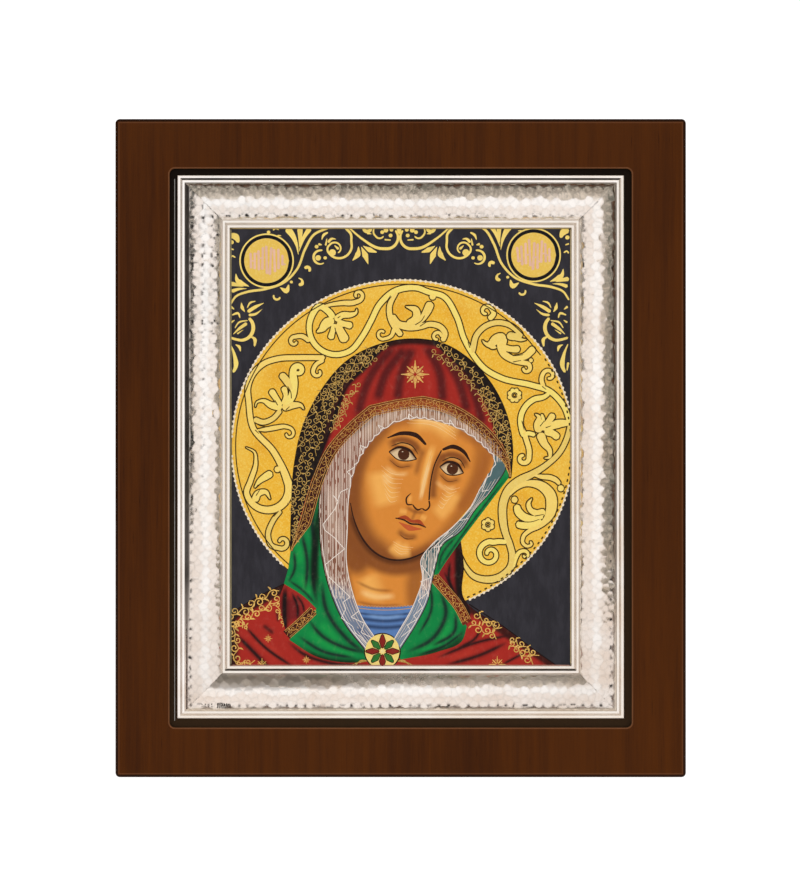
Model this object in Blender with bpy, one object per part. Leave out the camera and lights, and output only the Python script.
"""Silver icon: a stained wooden board, a pressed silver frame set in its recess and a painted panel behind the frame.

Run with: blender --background --python part.py
Units are metres and +Z is up. The origin is the centre of the board's back face, the front faces -Y and the
picture's top is +Z. Nothing moves: the silver frame is pinned in the recess and holds the panel in its rebate.
"""

import math

import bmesh
import bpy

MM = 0.001
FIT_GAP = 0.3 * MM  # clearance between touching pieces

# Wooden board
BOARD_WIDTH = 260 * MM
BOARD_HEIGHT = 300 * MM
BOARD_THICKNESS = 20 * MM
BOARD_CORNER_RADIUS = 2.0 * MM
FRONT_ROUND = 1.4 * MM  # round-over of the front edges
BACK_EASE = 0.6 * MM  # easing of the back edges

# Recess routed in the board's face
RECESS_WIDTH = 210.6 * MM
RECESS_HEIGHT = 254.7 * MM
RECESS_DEPTH = 3.5 * MM
RECESS_CORNER_RADIUS = 2.5 * MM
RECESS_MOUTH_EASE = 0.5 * MM  # easing of the recess's arris

# Blind hanging slot routed in the board's back, for a nail or a hook
SLOT_WIDTH = 12 * MM
SLOT_HEIGHT = 22 * MM
SLOT_DEPTH = 9 * MM
SLOT_CORNER_RADIUS = 3 * MM
SLOT_CENTRE_Z = 105 * MM

# Pressed silver frame: from the outer edge inwards come a low bead, a step up to a fillet, the cushion, a second
# fillet, a step down to the sight bead and the sight edge. Heights are above the frame's seat in the recess.
SILVER_WIDTH = 203.6 * MM
SILVER_HEIGHT = 247.6 * MM
MOULDING_WIDTH = 24 * MM
SILVER_RISE = 0.6 * MM  # the silver sits this much above the recess's centre
BEAD_WIDTH = 1.5 * MM
BEAD_CROWN = 0.6 * MM  # rise of a bead's round
STEP_WIDTH = 0.7 * MM  # slope between a bead and its fillet
FILLET_WIDTH = 1.2 * MM
FILLET_CROWN = 0.15 * MM
CREASE_DEPTH = 0.25 * MM  # crease between a fillet and the cushion
OUTER_BEAD_SPRING = 2.1 * MM
OUTER_FILLET_HEIGHT = 3.1 * MM
CUSHION_CREST = 8.1 * MM
INNER_FILLET_HEIGHT = 4.2 * MM
SIGHT_BEAD_SPRING = 3.2 * MM
BEAD_STEPS = 6
CUSHION_STEPS = 20

# Painted panel
PANEL_THICKNESS = 2.2 * MM
PANEL_OVERLAP = 5 * MM  # how far the panel runs under the moulding on each side
PANEL_EASE = 0.4 * MM

# Depth of each thing behind the front: the board's back is y = 0
RECESS_FLOOR_Y = -(BOARD_THICKNESS - RECESS_DEPTH)
SEAT_Y = RECESS_FLOOR_Y - FIT_GAP
SILVER_CENTRE_Z = SILVER_RISE
ARC_STEPS = 5
CUTTER_OVERSHOOT = 1 * MM
WELD_DISTANCE = 1e-7


def clear_scene():
    """Remove every object that the file opened with."""
    for old in list(bpy.data.objects):
        bpy.data.objects.remove(old, do_unlink=True)


def make_material(name, colour, roughness, metallic):
    """A Principled material with one colour, for a sub-part."""
    material = bpy.data.materials.new(name)
    material.use_nodes = True
    shader = material.node_tree.nodes["Principled BSDF"]
    shader.inputs["Base Color"].default_value = (*colour, 1.0)
    shader.inputs["Roughness"].default_value = roughness
    shader.inputs["Metallic"].default_value = metallic
    material.diffuse_color = (*colour, 1.0)
    return material


def object_from_bmesh(name, bm, material=None):
    """Put a bmesh into the scene as a named object and free it."""
    bmesh.ops.remove_doubles(bm, verts=bm.verts, dist=WELD_DISTANCE)
    bmesh.ops.recalc_face_normals(bm, faces=bm.faces)
    mesh = bpy.data.meshes.new(name)
    bm.to_mesh(mesh)
    bm.free()
    obj = bpy.data.objects.new(name, mesh)
    bpy.context.collection.objects.link(obj)
    if material:
        mesh.materials.append(material)
    return obj


def rounded_rectangle(width, height, radius):
    """Corner points (x, z) of an upright rectangle with round corners, centred on 0, anticlockwise from +X."""
    points = []
    for corner in range(4):
        start = corner * math.pi / 2
        centre_x = (width / 2 - radius) * (1 if corner in (0, 3) else -1)
        centre_z = (height / 2 - radius) * (1 if corner in (0, 1) else -1)
        for step in range(ARC_STEPS + 1):
            angle = start + step / ARC_STEPS * math.pi / 2
            points.append((centre_x + radius * math.cos(angle), centre_z + radius * math.sin(angle)))
    return points


def stacked_prism(width, height, radius, levels, centre_z=0.0):
    """A closed prism through rounded rectangles.

    levels lists (y, inset) from back to front: at each y the outline shrinks by inset, or grows if inset is negative.
    """
    bm = bmesh.new()
    rings = []
    for y, inset in levels:
        outline = rounded_rectangle(width - 2 * inset, height - 2 * inset, radius - inset)
        rings.append([bm.verts.new((x, y, z + centre_z)) for x, z in outline])
    for back, front in zip(rings, rings[1:]):
        for i in range(len(back)):
            j = (i + 1) % len(back)
            bm.faces.new((back[i], back[j], front[j], front[i]))
    bm.faces.new(rings[0])
    bm.faces.new(rings[-1])
    return bm


def board_blank_levels():
    """The board's outline levels: eased at the back, rounded over at the front by a quarter circle."""
    levels = [(0.0, BACK_EASE), (-BACK_EASE, 0.0)]
    for step in range(ARC_STEPS + 1):
        angle = step / ARC_STEPS * math.pi / 2
        forward = BOARD_THICKNESS - FRONT_ROUND * (1 - math.sin(angle))
        levels.append((-forward, FRONT_ROUND * (1 - math.cos(angle))))
    return levels


def make_cutter(name, bm):
    """A Boolean cutter, kept out of renders."""
    cutter = object_from_bmesh(name, bm)
    cutter.hide_render = True
    cutter.display_type = "WIRE"
    return cutter


def cut(target, cutter):
    """Take the cutter's volume out of the target."""
    modifier = target.modifiers.new("Cut " + cutter.name, "BOOLEAN")
    modifier.operation = "DIFFERENCE"
    modifier.solver = "EXACT"
    modifier.object = cutter


def make_wooden_board(material):
    """The board: rounded front edges, the silver's recess in its face and the hanging slot in its back."""
    blank = stacked_prism(BOARD_WIDTH, BOARD_HEIGHT, BOARD_CORNER_RADIUS, board_blank_levels())
    board = object_from_bmesh("wooden_board", blank, material)

    recess_levels = [
        (RECESS_FLOOR_Y, 0.0),
        (-BOARD_THICKNESS + RECESS_MOUTH_EASE, 0.0),
        (-BOARD_THICKNESS, -RECESS_MOUTH_EASE),
        (-BOARD_THICKNESS - CUTTER_OVERSHOOT, -RECESS_MOUTH_EASE - CUTTER_OVERSHOOT),
    ]
    recess = stacked_prism(RECESS_WIDTH, RECESS_HEIGHT, RECESS_CORNER_RADIUS, recess_levels)
    cut(board, make_cutter("recess_cutter", recess))

    slot_levels = [(CUTTER_OVERSHOOT, 0.0), (-SLOT_DEPTH, 0.0)]
    slot = stacked_prism(SLOT_WIDTH, SLOT_HEIGHT, SLOT_CORNER_RADIUS, slot_levels, SLOT_CENTRE_Z)
    cut(board, make_cutter("slot_cutter", slot))
    return board


def crowned_points(start, width, height, crown):
    """Points (inward, height) of a shallow round that springs from one height and rises by crown in its middle."""
    points = []
    for step in range(BEAD_STEPS + 1):
        angle = math.pi * (1 - step / BEAD_STEPS)
        points.append((start + width / 2 * (1 + math.cos(angle)), height + crown * math.sin(angle)))
    return points


def cushion_points(start, width):
    """The cushion's points: an arc of a circle, leaning so that its inner foot is as high as the inner fillet."""
    outer_foot = OUTER_FILLET_HEIGHT - CREASE_DEPTH
    inner_foot = INNER_FILLET_HEIGHT - CREASE_DEPTH
    rise = CUSHION_CREST - (outer_foot + inner_foot) / 2
    half_angle = 2 * math.atan(rise / (width / 2))
    radius = width / 2 / math.sin(half_angle)
    points = []
    for step in range(CUSHION_STEPS + 1):
        angle = half_angle * (2 * step / CUSHION_STEPS - 1)
        share = (1 + math.sin(angle) / math.sin(half_angle)) / 2
        foot = outer_foot + (inner_foot - outer_foot) * share
        points.append((start + width * share, foot + radius * (math.cos(angle) - math.cos(half_angle))))
    return points


def moulding_section():
    """The silver's closed section as points (inward from the outer edge, height above the seat)."""
    trim_width = BEAD_WIDTH + STEP_WIDTH + FILLET_WIDTH
    inner_trim = MOULDING_WIDTH - trim_width
    rebate_height = PANEL_THICKNESS + FIT_GAP
    rebate_edge = MOULDING_WIDTH - PANEL_OVERLAP - FIT_GAP

    section = [(0.0, 0.0)]
    section += crowned_points(0.0, BEAD_WIDTH, OUTER_BEAD_SPRING, BEAD_CROWN)
    section += crowned_points(BEAD_WIDTH + STEP_WIDTH, FILLET_WIDTH, OUTER_FILLET_HEIGHT, FILLET_CROWN)
    section += cushion_points(trim_width, inner_trim - trim_width)
    section += crowned_points(inner_trim, FILLET_WIDTH, INNER_FILLET_HEIGHT, FILLET_CROWN)
    section += crowned_points(MOULDING_WIDTH - BEAD_WIDTH, BEAD_WIDTH, SIGHT_BEAD_SPRING, BEAD_CROWN)
    section += [(MOULDING_WIDTH, rebate_height), (rebate_edge, rebate_height), (rebate_edge, 0.0)]
    return section


def make_silver_frame(material):
    """The silver frame: its section swept round the rectangle, mitred at the corners."""
    bm = bmesh.new()
    corners = ((1, 1), (-1, 1), (-1, -1), (1, -1))
    rings = []
    for inward, height in moulding_section():
        half_width = SILVER_WIDTH / 2 - inward
        half_height = SILVER_HEIGHT / 2 - inward
        y = SEAT_Y - height
        rings.append([bm.verts.new((sx * half_width, y, sz * half_height + SILVER_CENTRE_Z)) for sx, sz in corners])
    for here, following in zip(rings, rings[1:] + rings[:1]):
        for i in range(4):
            j = (i + 1) % 4
            bm.faces.new((here[i], here[j], following[j], following[i]))
    return object_from_bmesh("silver_frame", bm, material)


def make_icon_panel(material):
    """The painted panel, a thin slab with eased edges that fills the silver's rebate."""
    opening_width = SILVER_WIDTH - 2 * MOULDING_WIDTH
    opening_height = SILVER_HEIGHT - 2 * MOULDING_WIDTH
    levels = [
        (SEAT_Y, PANEL_EASE),
        (SEAT_Y - PANEL_EASE, 0.0),
        (SEAT_Y - PANEL_THICKNESS + PANEL_EASE, 0.0),
        (SEAT_Y - PANEL_THICKNESS, PANEL_EASE),
    ]
    slab = stacked_prism(
        opening_width + 2 * PANEL_OVERLAP,
        opening_height + 2 * PANEL_OVERLAP,
        2 * PANEL_EASE,
        levels,
        SILVER_CENTRE_Z,
    )
    return object_from_bmesh("icon_panel", slab, material)


def main():
    """Build the three pieces."""
    clear_scene()
    wood = make_material("Stained wood", (0.068, 0.020, 0.008), 0.45, 0.0)
    silver = make_material("Hammered silver", (0.86, 0.83, 0.78), 0.25, 1.0)
    paint = make_material("Painted panel", (0.55, 0.32, 0.05), 0.45, 0.0)
    make_wooden_board(wood)
    make_silver_frame(silver)
    make_icon_panel(paint)


main()
